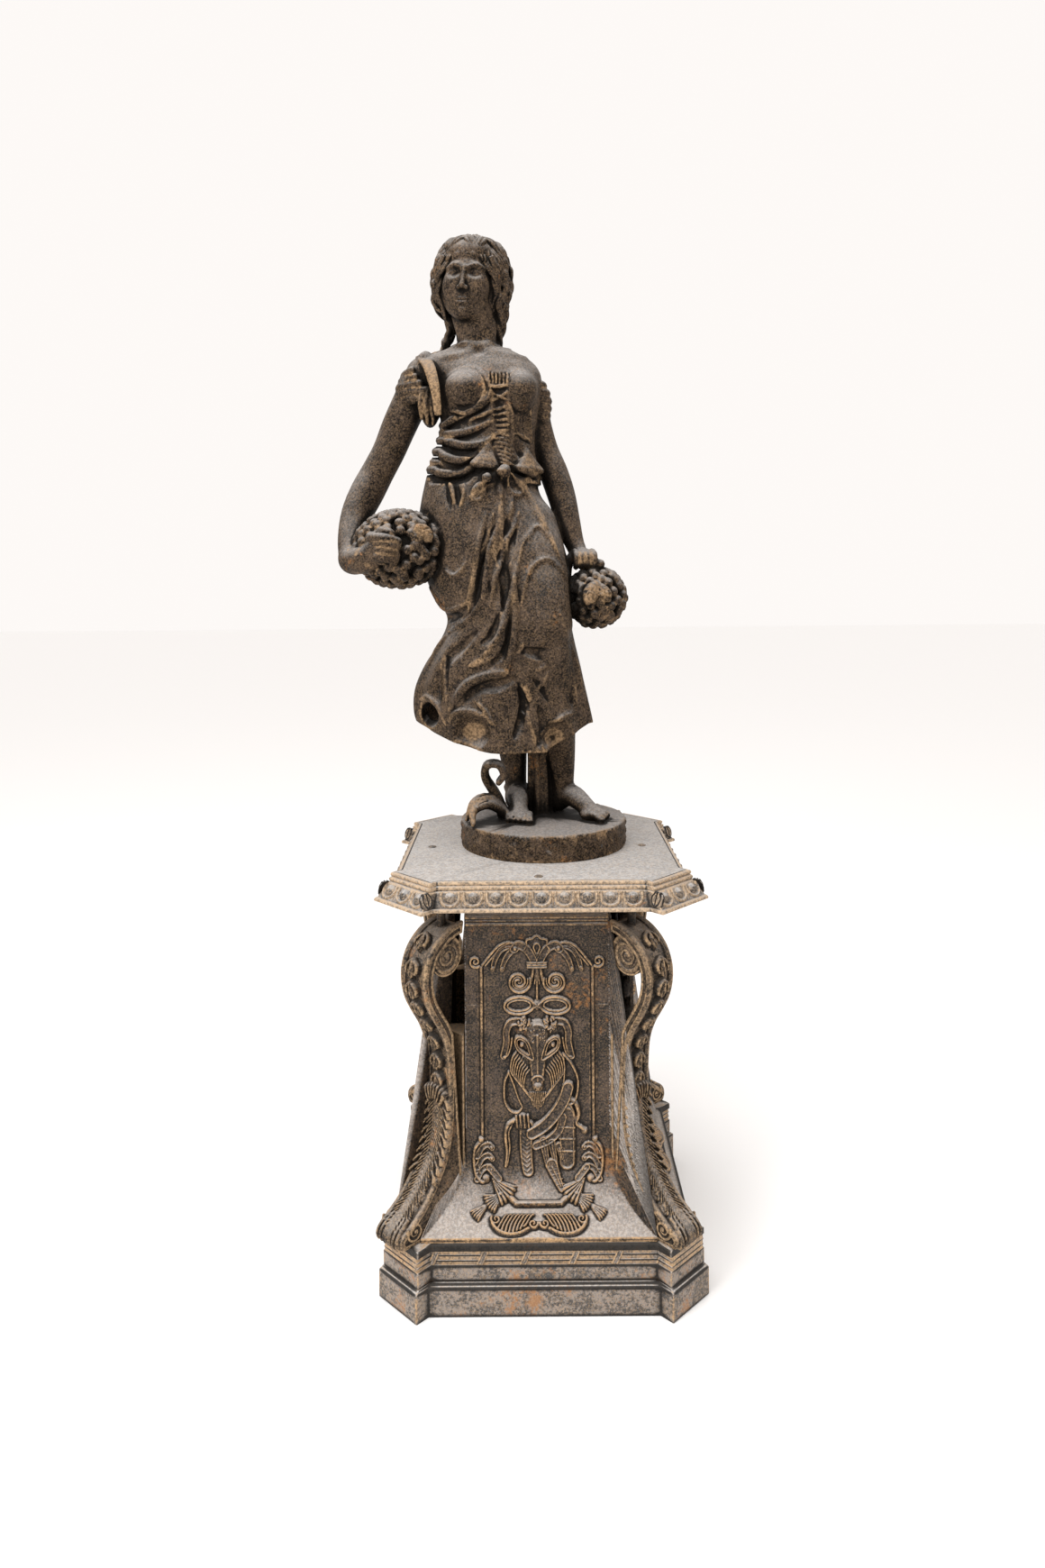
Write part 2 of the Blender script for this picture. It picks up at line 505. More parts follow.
def form_figure(clay):
    clay.add(loft(SKIRT, skirt_wave, skirt_hem), 0.0)
    clay.add(bar([(-0.010, -0.010, 1.470, 0.052), (0.012, -0.050, 1.370, 0.052),
                  (0.022, -0.078, 1.272, 0.046)]), 0.03)
    form_torso(clay)
    form_dress(clay)
    clay.cut(loft(inner(SKIRT[8:], 0.028), skirt_wave), 0.004)
    form_legs(clay)
    form_arms(clay)
    form_sleeves(clay)
    form_head(clay)
    form_grapes(clay, (-0.287, -0.052, 1.425), (0.092, 0.074, 0.078), 0.0125, 3)
    clay.add(bar([(0.066, -0.026, 1.370, 0.010), (0.084, -0.034, 1.404, 0.012),
                  (0.114, -0.038, 1.412, 0.012),
                  (0.140, -0.036, 1.394, 0.011), (0.154, -0.030, 1.345, 0.010)]), 0.003)
    form_grapes(clay, (0.122, -0.030, 1.321), (0.061, 0.056, 0.061), 0.0115, 5)
    form_hands(clay)
    form_base_leaves(clay)
    base = (np.array((BASE_CENTRE[0] - BASE_RADIUS, BASE_CENTRE[1] - BASE_RADIUS, PEDESTAL_TOP)),
            np.array((BASE_CENTRE[0] + BASE_RADIUS, BASE_CENTRE[1] + BASE_RADIUS, BASE_TOP)),
            lambda x, y, z: np.maximum(
                np.hypot(x - BASE_CENTRE[0], y - BASE_CENTRE[1]) - BASE_RADIUS,
                np.maximum(z - BASE_TOP, PEDESTAL_TOP + JOINT_GAP - z)))
    clay.add(base, 0.004)


# ---- the pedestal ---------------------------------------------------------------------------------


def ear_outline(side, reach, half):
    """A square outline with a block standing out at each corner, counter-clockwise."""
    tip = np.array(((reach - half) / math.sqrt(2), (reach + half) / math.sqrt(2)))
    root = np.array((tip[0] - (tip[1] - side), side))
    corner = [root, tip, tip[::-1], root[::-1]]
    outline = []
    for turn in range(4):
        c, s = round(math.cos(-turn * math.pi / 2)), round(math.sin(-turn * math.pi / 2))
        outline += [(c * x - s * y, s * x + c * y) for x, y in corner]
    return outline[::-1]


def ring_solid(rings):
    """A closed solid through rings (outline, height), from its first end face to its last."""
    form = bmesh.new()
    loops = [[form.verts.new((x, y, height)) for x, y in outline] for outline, height in rings]
    for above, below in zip(loops[:-1], loops[1:]):
        for i in range(len(above)):
            j = (i + 1) % len(above)
            form.faces.new((above[j], above[i], below[i], below[j]))
    form.faces.new(loops[0])
    form.faces.new(loops[-1][::-1])
    bmesh.ops.recalc_face_normals(form, faces=form.faces)
    return finish(form)


def ring_frame(rings):
    """As ring_solid, but the last ring joins the first one, round a hole."""
    form = bmesh.new()
    loops = [[form.verts.new((x, y, height)) for x, y in outline] for outline, height in rings]
    for above, below in zip(loops, loops[1:] + loops[:1]):
        for i in range(len(above)):
            j = (i + 1) % len(above)
            form.faces.new((above[j], above[i], below[i], below[j]))
    bmesh.ops.recalc_face_normals(form, faces=form.faces)
    return finish(form)


def finish(form):
    mesh = bpy.data.meshes.new("part")
    form.to_mesh(mesh)
    form.free()
    return mesh


def make_plinth_steps():
    hole = ear_outline(0.245, 0.318, 0.030)
    lower_low, lower_top = ear_outline(0.293, 0.3874, 0.0557), ear_outline(0.287, 0.3814, 0.0532)
    lower = ring_frame([(lower_top, PLINTH_STEP_TOP), (lower_low, PLINTH_STEP_TOP - 0.006),
                        (lower_low, 0.0), (hole, 0.0), (hole, PLINTH_STEP_TOP)])
    outer, sunk = ear_outline(0.282, 0.3797, 0.0516), ear_outline(0.2785, 0.3797, 0.0481)
    base = PLINTH_STEP_TOP + JOINT_GAP
    band = (0.086, 0.116)
    upper = ring_frame([(ear_outline(0.280, 0.3777, 0.0508), PLINTH_TOP), (outer, PLINTH_TOP - 0.003),
                        (outer, band[1]), (sunk, band[1] - 0.003), (sunk, band[0] + 0.003),
                        (outer, band[0]), (outer, base), (hole, base), (hole, PLINTH_TOP)])
    return lower, upper


CAP_PROFILE = (               # side, ear reach, ear half width and height, from the top face down
    (0.2720, 0.3475, 0.0560, PEDESTAL_TOP),
    (0.2760, 0.3520, 0.0578, PEDESTAL_TOP - 0.0030),
    (0.2760, 0.3520, 0.0578, PEDESTAL_TOP - 0.0095),
    (0.2730, 0.3490, 0.0565, PEDESTAL_TOP - 0.0120),
    (0.2800, 0.3570, 0.0605, PEDESTAL_TOP - 0.0180),
    (0.2945, 0.3750, 0.0680, PEDESTAL_TOP - 0.0400),
    (0.3000, 0.3820, 0.0707, PEDESTAL_TOP - 0.0430),
    (0.3000, 0.3820, 0.0707, CAP_LIP),
    (0.2880, 0.3680, 0.0640, CAP_LIP),
    (0.2600, 0.3300, 0.0500, PEDESTAL_TOP - 0.0120),
    (0.1900, 0.2240, 0.0300, PEDESTAL_TOP - 0.0120),
    (0.1860, 0.2200, 0.0300, CAP_LIP),
    (0.1550, 0.1900, 0.0200, CAP_LIP),
    (0.1500, 0.1840, 0.0200, PEDESTAL_TOP - 0.0120),
)
EGG_BAND = 4                  # the profile row at the top of the band that carries the eggs
EGGS = 9                      # on each straight side
EGG_RISE = 0.0075


def egg_columns(outline, count):
    """Places along each edge of an outline where the sides of its eggs fall."""
    places = []
    for i, start in enumerate(outline):
        end = outline[(i + 1) % len(outline)]
        run = math.hypot(end[0] - start[0], end[1] - start[1])
        eggs = count if run > 0.3 else 3 if run > 0.08 else 0
        places.append([0.5 + (k - (eggs - 1) / 2) * 0.96 / eggs + half * 0.38 / eggs
                       for k in range(eggs) for half in (-1, 1)])
    return places


def join_boolean(target, other, kind="UNION"):
    """Apply a union or difference and drop the second object."""
    change = target.modifiers.new("join", "BOOLEAN")
    change.operation = kind
    change.solver = "EXACT"
    change.use_self = kind == "UNION"
    change.object = other
    deps = bpy.context.evaluated_depsgraph_get()
    mesh = bpy.data.meshes.new_from_object(target.evaluated_get(deps))
    target.modifiers.clear()
    target.data = mesh
    bpy.data.objects.remove(other)


def thin(mesh, faces, kept=(), finer=()):
    """A copy with about the given number of triangles; kept points stay, finer ones lose fewer."""
    full = scratch_object(mesh)
    change = full.modifiers.new("thin", "DECIMATE")
    triangles = sum(len(polygon.vertices) - 2 for polygon in mesh.polygons)
    change.ratio = faces / triangles
    change.use_collapse_triangulate = True
    group = full.vertex_groups.new(name="thinning")
    group.add(list(range(len(mesh.vertices))), 1.0, "REPLACE")
    group.add(list(finer), FINER_THINNING, "REPLACE")
    group.add(list(kept), 0.0, "REPLACE")
    change.vertex_group = "thinning"
    deps = bpy.context.evaluated_depsgraph_get()
    result = bpy.data.meshes.new_from_object(full.evaluated_get(deps))
    bpy.data.objects.remove(full)
    return result




def scratch_object(mesh):
    made = bpy.data.objects.new("scratch", mesh)
    bpy.context.scene.collection.objects.link(made)
    return made


def make_cap():
    """The cap as rings of its profile; the eggs stand out of the middle of its sloping band."""
    rings = [(ear_outline(side, reach, half), height) for side, reach, half, height in CAP_PROFILE]
    above, below = rings[EGG_BAND], rings[EGG_BAND + 1]
    places = egg_columns(above[0], EGGS)
    form = bmesh.new()
    loops = []
    for k, (outline, height) in enumerate(rings):
        loop = []
        for i, start in enumerate(outline):
            loop.append([form.verts.new((*start, height))])
            if k in (EGG_BAND, EGG_BAND + 1):
                end = outline[(i + 1) % len(outline)]
                for t in places[i]:
                    loop[-1].append(form.verts.new((start[0] + (end[0] - start[0]) * t,
                                                    start[1] + (end[1] - start[1]) * t, height)))
        loops.append(loop)
    for k, (upper, lower) in enumerate(zip(loops[:-1], loops[1:])):
        for i in range(len(upper)):
            j = (i + 1) % len(upper)
            top, low = upper[i] + [upper[j][0]], lower[i] + [lower[j][0]]
            if k != EGG_BAND or not places[i]:
                form.faces.new(top[::-1] + low)
                continue
            out = Vector((above[0][i][1] - above[0][j][1], above[0][j][0] - above[0][i][0], 0)).normalized()
            if out.dot(Vector((*above[0][i], 0))) < 0:
                out = -out
            for n in range(0, len(top) - 1, 2):
                form.faces.new((top[n + 1], top[n], low[n], low[n + 1]))
            for n in range(1, len(top) - 1, 2):
                rim = [top[n], top[n + 1], low[n + 1], low[n]]
                middle = sum((corner.co for corner in rim), Vector()) / 4
                peak = form.verts.new(middle + (out + Vector((0, 0, 0.6))).normalized() * EGG_RISE)
                for a, b in zip(rim, rim[1:] + rim[:1]):
                    form.faces.new((b, a, peak))
    form.faces.new([v for group in loops[0] for v in group])
    form.faces.new([v for group in loops[-1] for v in group][::-1])
    bmesh.ops.recalc_face_normals(form, faces=form.faces)
    cap = scratch_object(finish(form))
    holes = bmesh.new()
    for x, y in BOLTS:
        bmesh.ops.create_cone(holes, cap_ends=True, segments=8, radius1=BOLT_HOLE, radius2=BOLT_HOLE,
                              depth=0.1, matrix=Matrix.Translation((x, y, PEDESTAL_TOP)))
    join_boolean(cap, scratch_object(finish(holes)), "DIFFERENCE")
    mesh = cap.data
    bpy.data.objects.remove(cap)
    return mesh



def make_bolt():
    """A low round head with its shank."""
    form = bmesh.new()
    rings = ((0.0050, 0.0026), (0.0085, 0.0004), (0.0042, 0.0004), (0.0042, -0.0180))
    loops = []
    for radius, height in rings:
        turns = [Matrix.Rotation(a * 2 * math.pi / BOLT_SIDES, 3, "Z") for a in range(BOLT_SIDES)]
        loops.append([form.verts.new(turn @ Vector((radius, 0, height))) for turn in turns])
    for above, below in zip(loops[:-1], loops[1:]):
        for i in range(BOLT_SIDES):
            j = (i + 1) % BOLT_SIDES
            form.faces.new((above[i], below[i], below[j], above[j]))
    form.faces.new(loops[0])
    form.faces.new(loops[-1][::-1])
    bmesh.ops.recalc_face_normals(form, faces=form.faces)
    return finish(form)


# ---- corner scrolls -------------------------------------------------------------------------------
# Front edge of a scroll in its own plane: distance from the pedestal's axis, height.
SCROLL_FRONT = ((0.238, 0.6960), (0.266, 0.6900), (0.294, 0.6760), (0.318, 0.6520), (0.3310, 0.6200),
                (0.3320, 0.5880), (0.3240, 0.5560), (0.3080, 0.5260), (0.2900, 0.4960), (0.2770, 0.4620),
                (0.2720, 0.4200), (0.2710, 0.3700), (0.2750, 0.3050), (0.2880, 0.2560), (0.3110, 0.2180),
                (0.3400, 0.1840), (0.3690, 0.1620), (0.3860, 0.1510), (0.3930, 0.1400), (0.3880, 0.1290))
SCROLL_INNER = 0.2392         # where its lower part meets the panels
SCROLL_CORNER = 0.2020        # its inner corner, between the panels' ends
SCROLL_THICK = 0.020
SCROLL_OPEN = 0.478           # above this height the scroll stands free
VOLUTE = (0.2760, 0.6380, 0.0385)
LEAF_TOP = 0.385              # height of the acanthus leaf's curled tip
HUSK_PITCH = 0.0415


def scroll_rise(w, height):
    """How far the ornament stands off a scroll's front at w across, at a height."""
    edge = 0.0030 * np.exp(-((np.abs(w) - 0.034) / 0.004) ** 2)
    phase = ((height - LEAF_TOP) / HUSK_PITCH) % 1.0
    husk = 0.0130 * np.sqrt(np.clip(1 - (w / (0.010 + 0.006 * phase)) ** 2, 0, 1)) * (0.35 + 0.65 * phase)
    blade = np.clip((LEAF_TOP + 0.012 - height) / 0.02, 0, 1)
    curl = 0.020 * np.exp(-((height - LEAF_TOP + 0.012) / 0.014) ** 2) * np.clip(1 - (w / 0.030) ** 2, 0, 1)
    leaf = (0.010 + 0.010 * np.clip((0.34 - height) / 0.15, 0, 1)) * np.clip(1 - (w / 0.034) ** 2, 0, 1)
    return np.where(height > LEAF_TOP + 0.012, np.maximum(edge, husk), edge + blade * leaf + curl)


def scroll_stations():
    """Places along the scroll's front: closer where the husks and the leaf's tip are."""
    fine = smooth(SCROLL_FRONT, 2000)
    heights = [0.6960, 0.6760]
    for k in range(6, -1, -1):
        heights += [LEAF_TOP + HUSK_PITCH * (k + 0.94), LEAF_TOP + max(0.014, HUSK_PITCH * (k + 0.06))]
    heights += [LEAF_TOP + 0.004, LEAF_TOP - 0.012, 0.335, 0.290, 0.255, 0.228, 0.200,
                0.175, 0.155, 0.141, 0.129]
    heights = [h for h in heights if h <= 0.6960]
    rows = sorted({int(np.argmin(np.abs(fine[:, 1] - h))) for h in heights})
    return fine[rows]


def make_scroll():
    """The S-shaped strap with its garland and leaf, with both volutes."""
    front = scroll_stations()
    along = np.gradient(front, axis=0)
    normal = np.column_stack((-along[:, 1], along[:, 0]))
    normal /= np.linalg.norm(normal, axis=1)[:, None]
    form = bmesh.new()
    rows = []
    for (t, z), (nt, nz) in zip(front, normal):
        row = []
        for share in (-1.0, -0.5, 0.0, 0.5, 1.0):
            rise = float(scroll_rise(share * CONSOLE_HALF, z))
            lifted = max(z + nz * rise, PLINTH_TOP + JOINT_GAP)
            row.append(form.verts.new((t + nt * rise, share * CONSOLE_HALF, lifted)))
        back = (SCROLL_INNER, z)
        if z > SCROLL_OPEN:
            back = (max(t - nt * SCROLL_THICK, SCROLL_INNER), z - nz * SCROLL_THICK)
        row.append(form.verts.new((back[0], CONSOLE_HALF, back[1])))
        inner_t = SCROLL_CORNER if z < SCROLL_OPEN else back[0]
        row.append(form.verts.new((inner_t, 0, back[1])))
        row.append(form.verts.new((back[0], -CONSOLE_HALF, back[1])))
        rows.append(row)
    for a, b in zip(rows[:-1], rows[1:]):
        for i in range(len(a)):
            j = (i + 1) % len(a)
            form.faces.new((a[i], a[j], b[j], b[i]))
    form.faces.new(rows[0])
    form.faces.new(rows[-1][::-1])
    bmesh.ops.recalc_face_normals(form, faces=form.faces)
    scroll = scratch_object(finish(form))
    volutes = bmesh.new()
    t, z, radius = VOLUTE
    lie = Matrix.Translation((t, 0, z)) @ Matrix.Rotation(math.pi / 2, 4, "X")
    bmesh.ops.create_cone(volutes, cap_ends=True, segments=10, radius1=radius, radius2=radius,
                          depth=2 * CONSOLE_HALF - 0.006, matrix=lie)
    join_boolean(scroll, scratch_object(finish(volutes)))
    mesh = scroll.data
    bpy.data.objects.remove(scroll)
    return mesh


# ---- side panels with their relief ---------------------------------------------------------------
class Relief:
    """Heights over a flat sheet; x is across and h up it, both in metres."""

    def __init__(self, x, h):
        self.x, self.h = np.meshgrid(x, h)
        self.height = np.zeros_like(self.x)

    def away(self, points, count=14):
        """Distance to a smooth line, and how far along it (0 to 1) each place is."""
        line = smooth(points, count) if len(points) > 2 else np.array(points, dtype=float)
        best = np.full(self.x.shape, 1.0)
        place = np.zeros(self.x.shape)
        for i, (a, b) in enumerate(zip(line[:-1], line[1:])):
            step = b - a
            t = np.clip(((self.x - a[0]) * step[0] + (self.h - a[1]) * step[1]) / (step @ step), 0, 1)
            d = np.hypot(self.x - a[0] - step[0] * t, self.h - a[1] - step[1] * t)
            near = d < best
            best[near] = d[near]
            place[near] = (i + t[near]) / (len(line) - 1)
        return best, place

    def raise_to(self, height):
        self.height = np.maximum(self.height, height)

    def line(self, points, width, rise, taper=0.0, mirror=False):
        """A half-round bead along a smooth line; taper thins its far end."""
        for flip in (1, -1) if mirror else (1,):
            away, place = self.away([(flip * x, h) for x, h in points])
            wide = width * (1 - taper * place)
            self.raise_to(rise * np.sqrt(np.clip(1 - (away / wide) ** 2, 0, 1)))

    def oval(self, x, h, rx, rh, rise, turn=0.0, mirror=False, power=0.5):
        for flip in (1, -1) if mirror else (1,):
            c, s = math.cos(flip * turn), math.sin(flip * turn)
            px, ph = self.x - flip * x, self.h - h
            across, up = (c * px + s * ph) / rx, (-s * px + c * ph) / rh
            self.raise_to(rise * np.clip(1 - across ** 2 - up ** 2, 0, 1) ** power)

    def loop(self, x, h, rx, rh, width, rise, turn=0.0, mirror=False):
        """A bead bent into a closed oval."""
        angles = np.linspace(0, 2 * math.pi, 15)
        c, s = math.cos(turn), math.sin(turn)
        points = [(x + c * rx * math.cos(a) - s * rh * math.sin(a),
                   h + s * rx * math.cos(a) + c * rh * math.sin(a)) for a in angles]
        self.line(points, width, rise, mirror=mirror)

    def spiral(self, x, h, radius, start, turns, width, rise, mirror=True):
        """A bead winding in to the point (x, h) from an angle at its outer end."""
        steps = np.linspace(0, 1, 16)
        points = [(x + radius * (1 - 0.85 * t) * math.cos(start + turns * 2 * math.pi * t),
                   h + radius * (1 - 0.85 * t) * math.sin(start + turns * 2 * math.pi * t)) for t in steps]
        self.line(points, width, rise, 0.35, mirror)

    def shell(self, x, h, radius, aim, spread, ribs, rise, mirror=True):
        """A fan of ribs from its hinge outwards."""
        for flip in (1, -1) if mirror else (1,):
            px, ph = flip * self.x - x, self.h - h
            angle = (np.arctan2(ph, px) - aim + math.pi) % (2 * math.pi) - math.pi
            out = np.hypot(px, ph) / radius
            inside = (np.abs(angle) < spread) & (out < 1)
            rib = 0.62 + 0.38 * np.abs(np.cos(angle / spread * ribs * math.pi / 2))
            edge = np.clip((1 - out) * 6, 0, 1) ** 0.5 * np.clip((spread - np.abs(angle)) * 6, 0, 1) ** 0.5
            self.raise_to(np.where(inside, rise * rib * edge * (0.5 + 0.5 * out), 0))


def draw_relief(sheet):
    """The ram's head hung from a bow, between scrolls, shells and leaves: its main forms."""
    sheet.line([(0.006 - PANEL_HALF, MOULDING - 0.006), (PANEL_HALF - 0.006, MOULDING - 0.006)], 0.006, 0.005)
    for side in (-1, 1):
        sheet.line([(side * 0.108, 0.604), (side * 0.108, 0.276)], 0.0060, 0.005)
    # palmette, leaves, scrolls and bow
    sheet.oval(0, 0.646, 0.0200, 0.0210, 0.009)
    sheet.line([(-0.004, 0.612), (-0.016, 0.636), (-0.040, 0.650), (-0.068, 0.648), (-0.092, 0.630)],
               0.0095, 0.007, 0.2, True)
    sheet.oval(-0.1100, 0.6180, 0.0140, 0.0140, 0.007, mirror=True)
    sheet.oval(0, 0.612, 0.0190, 0.0090, 0.008)
    sheet.oval(-0.0350, 0.5790, 0.0250, 0.0235, 0.009, mirror=True)
    sheet.line([(0, 0.604), (0, 0.545)], 0.0070, 0.007)
    sheet.oval(-0.0345, 0.5340, 0.0300, 0.0185, 0.009, mirror=True)
    sheet.oval(0, 0.5340, 0.0090, 0.0130, 0.012)
    # the ram's head: brow, ears, snout and muzzle
    sheet.oval(0, 0.4660, 0.0440, 0.0420, 0.014)
    sheet.line([(0, 0.470), (0, 0.430), (0, 0.392)], 0.0220, 0.019, 0.45)
    sheet.oval(0, 0.3820, 0.0130, 0.0120, 0.021)
    sheet.oval(-0.0240, 0.5000, 0.0145, 0.0160, 0.018, mirror=True)
    sheet.line([(-0.036, 0.502), (-0.055, 0.494), (-0.060, 0.464), (-0.065, 0.434)], 0.0100, 0.010, 0.2, True)
    # chest, sash, and what hangs below it
    sheet.oval(0, 0.3640, 0.0620, 0.0640, 0.009, power=0.4)
    sheet.line([(-0.040, 0.320), (-0.010, 0.296), (0.026, 0.318), (0.050, 0.350)], 0.0130, 0.013)
    sheet.line([(-0.050, 0.306), (-0.061, 0.284), (-0.061, 0.222)], 0.0085, 0.009, 0.3)
    sheet.line([(-0.0220, 0.296), (-0.0215, 0.222)], 0.0130, 0.009)
    sheet.line([(0.052, 0.340), (0.076, 0.330), (0.084, 0.294)], 0.0090, 0.009)
    sheet.line([(0.0560, 0.312), (0.0560, 0.236)], 0.0160, 0.008)
    sheet.line([(0.014, 0.274), (0.026, 0.224), (0.040, 0.186)], 0.0130, 0.009, 0.3)
    # leaves in the corners, shells, bar and the two scroll leaves at the foot
    sheet.line([(-0.110, 0.272), (-0.122, 0.252), (-0.120, 0.214), (-0.102, 0.199)],
               0.0075, 0.009, mirror=True)
    for h in (0.256, 0.232):
        sheet.line([(-0.116, h - 0.014), (-0.100, h), (-0.088, h - 0.002)], 0.0080, 0.008, 0.2, True)
    sheet.shell(-0.0900, 0.2040, 0.0520, -0.80, 0.56, 3, 0.012)
    sheet.shell(-0.0700, 0.1760, 0.0420, -2.50, 0.60, 3, 0.010)
    sheet.line([(-0.046, 0.160), (0.046, 0.160)], 0.0085, 0.009)
    sheet.oval(-0.0490, 0.1240, 0.0400, 0.0165, 0.010, 0.05, True, 0.4)


def draw_front_relief(sheet):
    """What only the front shows of its finer forms."""
    draw_relief(sheet)
    sheet.line([(-0.054, 0.647), (-0.074, 0.632), (-0.088, 0.603)], 0.0065, 0.0060, mirror=True)
    sheet.line([(-0.043, 0.636), (-0.058, 0.620), (-0.068, 0.603)], 0.0070, 0.0060, mirror=True)
    sheet.loop(-0.0345, 0.5340, 0.0270, 0.0150, 0.0050, 0.0120, 0.0, True)
    sheet.spiral(-0.0350, 0.5790, 0.0225, 0.35, -1.40, 0.0045, 0.0120)
    sheet.loop(-0.0280, 0.4600, 0.0150, 0.0105, 0.0040, 0.0190, 0.95, True)
    for i in range(3):
        x, h = 0.030 + 0.008 * i, 0.400 + 0.014 * i
        sheet.line([(-x + 0.012, h - 0.044), (-x, h - 0.014), (-x + 0.006, h + 0.010)],
                   0.0045, 0.0130, 0.3, True)
    for i in range(3):
        sheet.line([(0.009 * (i - 1), 0.366), (0.006 * (i - 1), 0.332)], 0.0042, 0.0130)
    for h in (0.298, 0.276, 0.254):
        sheet.line([(0.041, h), (0.071, h)], 0.0036, 0.0110)
    for i in range(5):
        x = -0.070 + 0.0110 * i
        sheet.line([(x - 0.006, 0.112), (x, 0.125), (x + 0.008, 0.137)], 0.0042, 0.0130, 0.2, True)


def panel_profile(h):
    """Distance from the axis, height, and outward slope at a place h up a panel's sheet."""
    angle = np.clip((FLARE_TOP - h) / FLARE_RADIUS, 0, None)
    face = PANEL_FACE + FLARE_RADIUS * (1 - np.cos(angle))
    return face, np.where(h > FLARE_TOP, h, FLARE_TOP - FLARE_RADIUS * np.sin(angle)), angle


def panel_half(face):
    """Half the width at a distance and height: it follows the scrolls' cheeks below."""
    return np.maximum(PANEL_HALF, face - (CONSOLE_HALF + 3 * JOINT_GAP) * math.sqrt(2))


def make_panel(draw, columns, rows, faces):
    """A cast plate with its relief, its neck above and its flared foot below."""
    foot = FLARE_TOP - FLARE_RADIUS * math.acos(1 - (PANEL_FOOT - PANEL_FACE) / FLARE_RADIUS)
    up = np.linspace(foot, MOULDING, rows)
    face, height, angle = panel_profile(up)
    half = panel_half(face)
    across = np.linspace(-1, 1, columns)
    across = np.concatenate(([-1], 0.985 * across, [1]))
    sheet = Relief(np.zeros(len(across)), up)
    sheet.x = across[None, :] * half[:, None]
    draw(sheet)
    sheet.height[:, [0, -1]] = 0
    y = -(face[:, None] + sheet.height * np.cos(angle)[:, None])
    z = height[:, None] + sheet.height * np.sin(angle)[:, None]
    form = bmesh.new()
    grid = [[form.verts.new((sheet.x[j, i], y[j, i], z[j, i])) for i in range(1, columns + 1)]
            for j in range(rows)]
    for low, high in zip(grid[:-1], grid[1:]):
        for i in range(columns - 1):
            form.faces.new((low[i], low[i + 1], high[i + 1], high[i]))
    # edges and back follow a few rows only, so that they stay true when the relief is thinned
    stops = [0] + [j for j in range(4, rows) if up[j] < FLARE_TOP and j % 5 == 0]
    stops += [int(np.searchsorted(up, FLARE_TOP)), rows // 2, rows - 1]
    base, neck = PLINTH_TOP + JOINT_GAP, CAP_LIP - JOINT_GAP
    rims = []
    for j in stops:
        back_y = -(face[j] - WALL * math.cos(angle[j]))
        inside = panel_half(-back_y)
        back_z = max(height[j] - WALL * math.sin(angle[j]), base)
        rims.append([(form.verts.new((side * half[j], -face[j], height[j])),
                      form.verts.new((side * inside, back_y, back_z))) for side in (-1, 1)])
    for k, side in enumerate((0, columns - 1)):
        for n, (a, b) in enumerate(zip(stops[:-1], stops[1:])):
            form.faces.new([grid[j][side] for j in range(a, b + 1)] + [rims[n + 1][k][0], rims[n][k][0]])
            form.faces.new((rims[n][k][0], rims[n + 1][k][0], rims[n + 1][k][1], rims[n][k][1]))
    for low, high in zip(rims[:-1], rims[1:]):
        form.faces.new((low[0][1], low[1][1], high[1][1], high[0][1]))
    form.faces.new([rims[0][0][0]] + grid[0] + [rims[0][1][0], rims[0][1][1], rims[0][0][1]])
    neck_rows = [[form.verts.new((side * PANEL_HALF, -at, h)) for side in (-1, 1)]
                 for at, h in ((NECK_FACE, MOULDING + 0.004), (NECK_FACE, neck), (NECK_FACE - WALL, neck),
                               (NECK_FACE - WALL, MOULDING - 0.012))]
    form.faces.new([rims[-1][0][0]] + grid[-1] + [rims[-1][1][0], neck_rows[0][1], neck_rows[0][0]])
    for low, high in zip(neck_rows[:-1], neck_rows[1:]):
        form.faces.new((low[0], low[1], high[1], high[0]))
    form.faces.new((neck_rows[-1][0], neck_rows[-1][1], rims[-1][1][1], rims[-1][0][1]))
    for k in (0, 1):
        form.faces.new([rims[-1][k][0]] + [row[k] for row in neck_rows] + [rims[-1][k][1]])
    kept = [corner for rim in rims for pair in rim for corner in pair] + [v for row in neck_rows for v in row]
    form.verts.index_update()
    kept = [corner.index for corner in kept]
    bmesh.ops.triangulate(form, faces=form.faces)
    bmesh.ops.recalc_face_normals(form, faces=form.faces)
    return thin(finish(form), faces, kept)


# ---- objects --------------------------------------------------------------------------------------
def add_object(name, mesh, collection, material):
    mesh.name = name
    mesh.materials.clear()
    mesh.materials.append(material)
    made = bpy.data.objects.new(name, mesh)
    collection.objects.link(made)
    return made


def iron(name, color, roughness, metallic=0.75):
    made = bpy.data.materials.new(name)
    made.use_nodes = True
    shader = made.node_tree.nodes["Principled BSDF"]
    shader.inputs["Base Color"].default_value = (*color, 1)
    shader.inputs["Roughness"].default_value = roughness
    shader.inputs["Metallic"].default_value = metallic
    return made


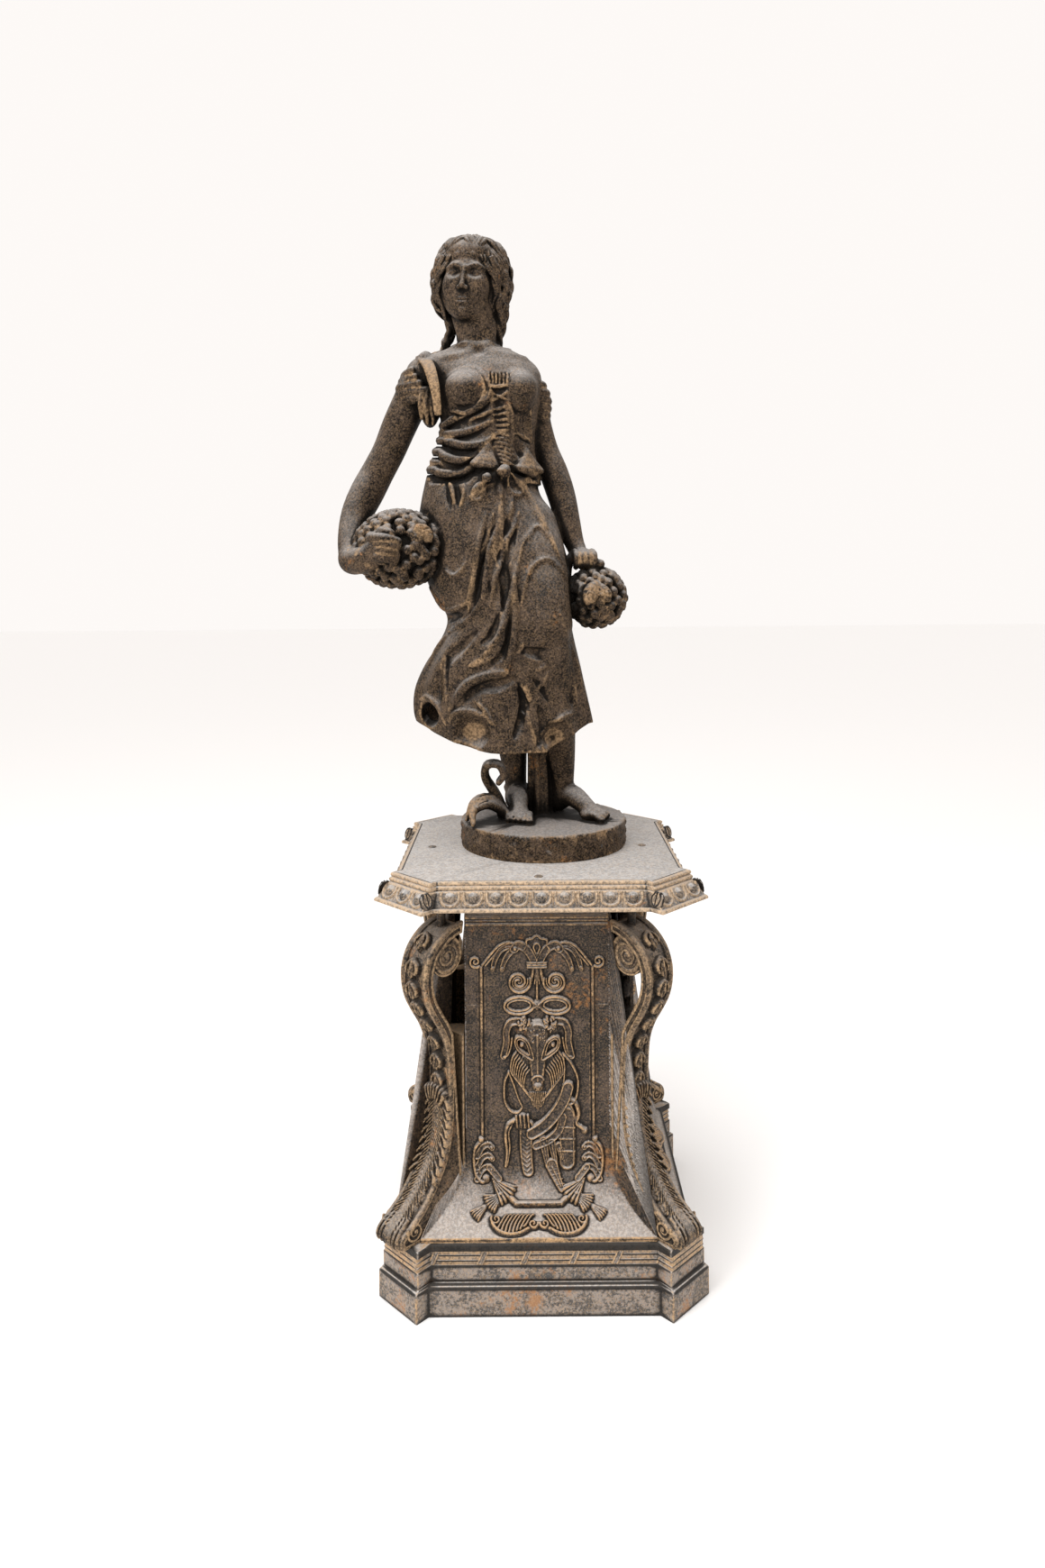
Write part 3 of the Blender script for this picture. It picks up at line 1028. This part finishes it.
def clay_mesh(clay, faces):
    """The clay's surface as one closed mesh thinned to about the given number of triangles."""
    points, quads = clay.mesh()
    label = np.arange(len(points))
    while True:
        lower = label.copy()
        np.minimum.at(lower, quads.ravel(), np.repeat(label[quads].min(axis=1), 4))
        lower = lower[lower]
        if np.array_equal(lower, label):
            break
        label = lower
    whole = label[quads[:, 0]] == np.bincount(label).argmax()
    used, quads = np.unique(quads[whole], return_inverse=True)
    points, quads = points[used], quads.reshape(-1, 4)
    mesh = bpy.data.meshes.new("clay")
    mesh.from_pydata(points.tolist(), [], quads.tolist())
    head = np.nonzero(np.linalg.norm(points - HEAD, axis=1) < 0.11)[0]
    return thin(mesh, faces, finer=head.tolist())


def build():
    for old in list(bpy.data.objects):
        bpy.data.objects.remove(old)
    statue = bpy.data.collections.new("garden_statue")
    bpy.context.scene.collection.children.link(statue)
    centre = bpy.data.objects.new("centre", None)
    statue.objects.link(centre)
    centre.location = (*CENTRE_SHIFT, 0)
    body = bpy.data.objects.new("body", None)
    statue.objects.link(body)
    body.parent = centre
    body.location.x = BODY_SHIFT
    dark = iron("plinth_iron", (0.10, 0.085, 0.07), 0.55)

    def place(name, mesh, material, parent, location=(0, 0, 0), turn=0.0):
        made = add_object(name, mesh, statue, material)
        made.parent = parent
        made.location = location
        made.rotation_euler.z = turn
        return made

    lower, upper = make_plinth_steps()
    place("plinth_lower_step", lower, dark, centre)
    place("plinth_upper_step", upper, dark, centre)
    panel_iron = iron("panel_iron", (0.11, 0.08, 0.05), 0.5)
    for i, side in enumerate(("front", "right", "back", "left")):
        front = i == 0
        panel = make_panel(draw_front_relief if front else draw_relief, *PANEL_GRID,
                           FRONT_PANEL_FACES if front else OTHER_PANEL_FACES)
        place("side_panel_" + side, panel, panel_iron, body, turn=i * math.pi / 2)
    scroll_iron = iron("scroll_iron", (0.12, 0.09, 0.055), 0.5)
    scroll = make_scroll()
    for i, corner in enumerate(("front_right", "back_right", "back_left", "front_left")):
        place("corner_scroll_" + corner, scroll.copy(), scroll_iron, body, turn=(i * 2 - 1) * math.pi / 4)
    place("cap", make_cap(), iron("cap_iron", (0.13, 0.11, 0.09), 0.5), centre)
    bolt_iron = iron("bolt_iron", (0.05, 0.045, 0.04), 0.5)
    for side, (x, y) in zip(("left", "right", "front", "back"), BOLTS):
        place("cap_bolt_" + side, make_bolt(), bolt_iron, centre, (x, y, PEDESTAL_TOP))
    clay = Clay((-0.47, -0.22, 0.78), (0.23, 0.24, 2.13), CLAY_STEP)
    form_figure(clay)
    place("figure", clay_mesh(clay, FIGURE_FACES), iron("figure_iron", (0.09, 0.06, 0.035), 0.5), centre)


build()
